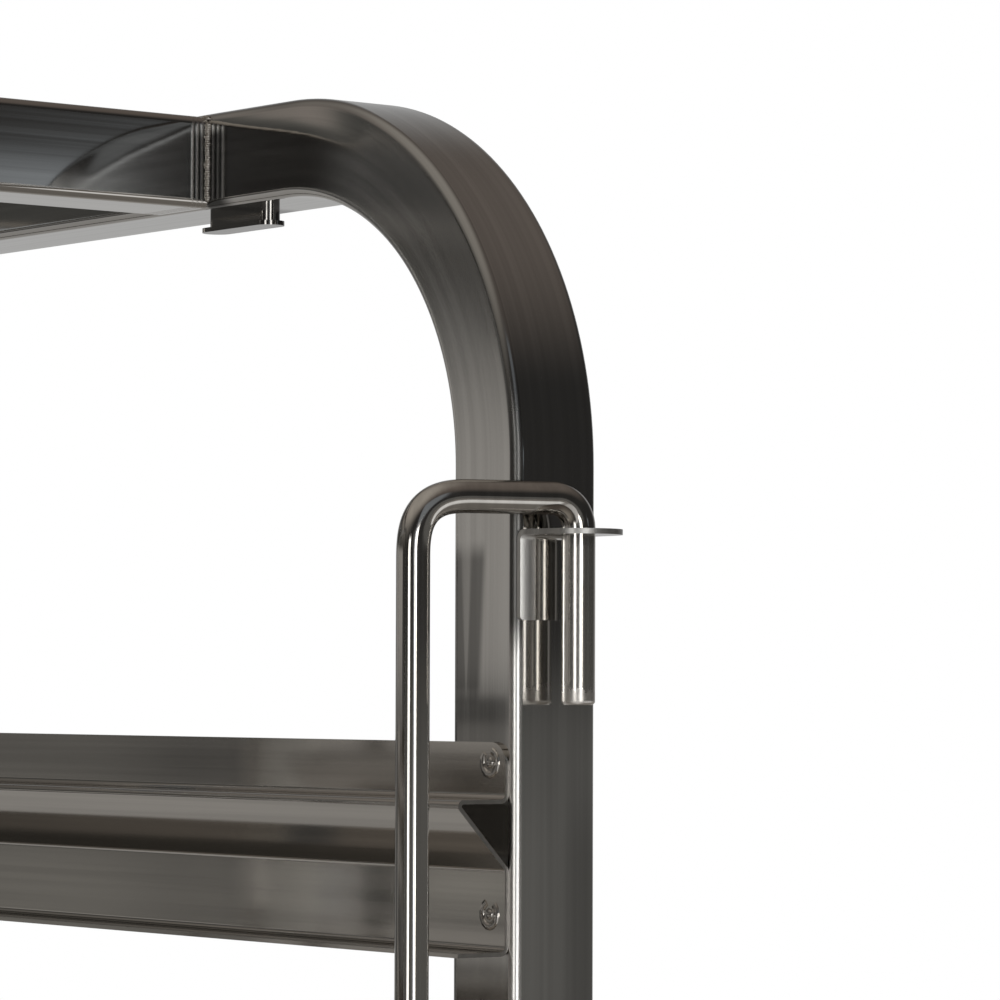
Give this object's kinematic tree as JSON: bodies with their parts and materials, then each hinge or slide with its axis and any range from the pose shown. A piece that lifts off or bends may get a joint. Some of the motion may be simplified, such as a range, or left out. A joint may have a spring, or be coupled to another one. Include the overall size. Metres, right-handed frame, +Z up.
{
  "type": "gastronorm pan rack",
  "caption": "Tall mobile rack of bent square tube with folded double-ledge runners for gastronorm pans, swing rods that keep the pans in, and swivel castors.",
  "frame": {"origin": "on the floor under the middle of the rack", "axes": "+Z up, front towards -Y, +X to the right seen from the front"},
  "size_m": [0.4096, 0.5876, 1.45],
  "materials": {
    "tube_steel": "bright satin stainless tube",
    "runner_steel": "cold rolled stainless sheet",
    "rod_steel": "polished stainless bar",
    "bracket_steel": "polished stainless sheet",
    "castor_steel": "bright zinc plate",
    "pedal_steel": "black coated steel",
    "hub_plastic": "moulded plastic",
    "tyre_rubber": "non-marking rubber"
  },
  "bodies": {
    "frame": {"bottom_cross_tube_front": "tube_steel", "bottom_cross_tube_rear": "tube_steel", "bottom_rail_left": "tube_steel", "bottom_rail_right": "tube_steel", "castor_front_left_stem": "castor_steel", "castor_front_right_stem": "castor_steel", "castor_rear_left_stem": "castor_steel", "castor_rear_right_stem": "castor_steel", "hook_strips": "bracket_steel", "hoop_left": "tube_steel", "hoop_right": "tube_steel", "rod_bracket_front_lower": "bracket_steel", "rod_bracket_front_upper": "bracket_steel", "rod_bracket_rear_lower": "bracket_steel", "rod_bracket_rear_upper": "bracket_steel", "runner_pair_01": "runner_steel", "runner_pair_02": "runner_steel", "runner_pair_03": "runner_steel", "runner_pair_04": "runner_steel", "runner_pair_05": "runner_steel", "runner_pair_06": "runner_steel", "runner_pair_07": "runner_steel", "runner_pair_08": "runner_steel", "runner_pair_09": "runner_steel", "runner_pair_10": "runner_steel", "runner_pair_11": "runner_steel", "runner_pair_12": "runner_steel", "runner_pair_13": "runner_steel", "top_cross_tube_front": "tube_steel", "top_cross_tube_rear": "tube_steel"},
    "castor_front_left_swivel": {"castor_front_left_axle": "castor_steel", "castor_front_left_fork": "castor_steel"},
    "castor_front_left_pedal": {"castor_front_left_brake_pedal": "pedal_steel"},
    "castor_front_left_wheel": {"castor_front_left_hub": "hub_plastic", "castor_front_left_tyre": "tyre_rubber"},
    "castor_front_right_swivel": {"castor_front_right_axle": "castor_steel", "castor_front_right_fork": "castor_steel"},
    "castor_front_right_wheel": {"castor_front_right_hub": "hub_plastic", "castor_front_right_tyre": "tyre_rubber"},
    "castor_rear_left_swivel": {"castor_rear_left_axle": "castor_steel", "castor_rear_left_fork": "castor_steel"},
    "castor_rear_left_wheel": {"castor_rear_left_hub": "hub_plastic", "castor_rear_left_tyre": "tyre_rubber"},
    "castor_rear_right_swivel": {"castor_rear_right_axle": "castor_steel", "castor_rear_right_fork": "castor_steel"},
    "castor_rear_right_pedal": {"castor_rear_right_brake_pedal": "pedal_steel"},
    "castor_rear_right_wheel": {"castor_rear_right_hub": "hub_plastic", "castor_rear_right_tyre": "tyre_rubber"},
    "rod_front": {"retaining_rod_front": "rod_steel"},
    "rod_rear": {"retaining_rod_rear": "rod_steel"}
  },
  "joints": [
    {"name": "rod_front_swing", "type": "hinge", "parent": "frame", "child": "rod_front", "pos_m": [0.18, -0.2833, 1.3], "axis": [0, 0, 1], "range_deg": [-3, 205]},
    {"name": "rod_rear_swing", "type": "hinge", "parent": "frame", "child": "rod_rear", "pos_m": [-0.18, 0.2833, 1.3], "axis": [0, 0, 1], "range_deg": [-3, 205]},
    {"name": "castor_front_left_turn", "type": "hinge", "parent": "frame", "child": "castor_front_left_swivel", "pos_m": [-0.18, -0.2625, 0.16], "axis": [0, 0, 1], "continuous": true},
    {"name": "castor_front_left_roll", "type": "hinge", "parent": "castor_front_left_swivel", "child": "castor_front_left_wheel", "pos_m": [-0.18, -0.2245, 0.0625], "axis": [1, 0, 0], "continuous": true},
    {"name": "castor_front_left_brake", "type": "hinge", "parent": "castor_front_left_swivel", "child": "castor_front_left_pedal", "pos_m": [-0.18, -0.2265, 0.1352], "axis": [-1, 0, 0], "range_deg": [0, 6]},
    {"name": "castor_front_right_turn", "type": "hinge", "parent": "frame", "child": "castor_front_right_swivel", "pos_m": [0.18, -0.2625, 0.16], "axis": [0, 0, 1], "continuous": true},
    {"name": "castor_front_right_roll", "type": "hinge", "parent": "castor_front_right_swivel", "child": "castor_front_right_wheel", "pos_m": [0.18, -0.2245, 0.0625], "axis": [1, 0, 0], "continuous": true},
    {"name": "castor_rear_left_turn", "type": "hinge", "parent": "frame", "child": "castor_rear_left_swivel", "pos_m": [-0.18, 0.2625, 0.16], "axis": [0, 0, 1], "continuous": true},
    {"name": "castor_rear_left_roll", "type": "hinge", "parent": "castor_rear_left_swivel", "child": "castor_rear_left_wheel", "pos_m": [-0.18, 0.2245, 0.0625], "axis": [1, 0, 0], "continuous": true},
    {"name": "castor_rear_right_turn", "type": "hinge", "parent": "frame", "child": "castor_rear_right_swivel", "pos_m": [0.18, 0.2625, 0.16], "axis": [0, 0, 1], "continuous": true},
    {"name": "castor_rear_right_roll", "type": "hinge", "parent": "castor_rear_right_swivel", "child": "castor_rear_right_wheel", "pos_m": [0.18, 0.2245, 0.0625], "axis": [1, 0, 0], "continuous": true},
    {"name": "castor_rear_right_brake", "type": "hinge", "parent": "castor_rear_right_swivel", "child": "castor_rear_right_pedal", "pos_m": [0.18, 0.2265, 0.1352], "axis": [1, 0, 0], "range_deg": [0, 6]}
  ]
}
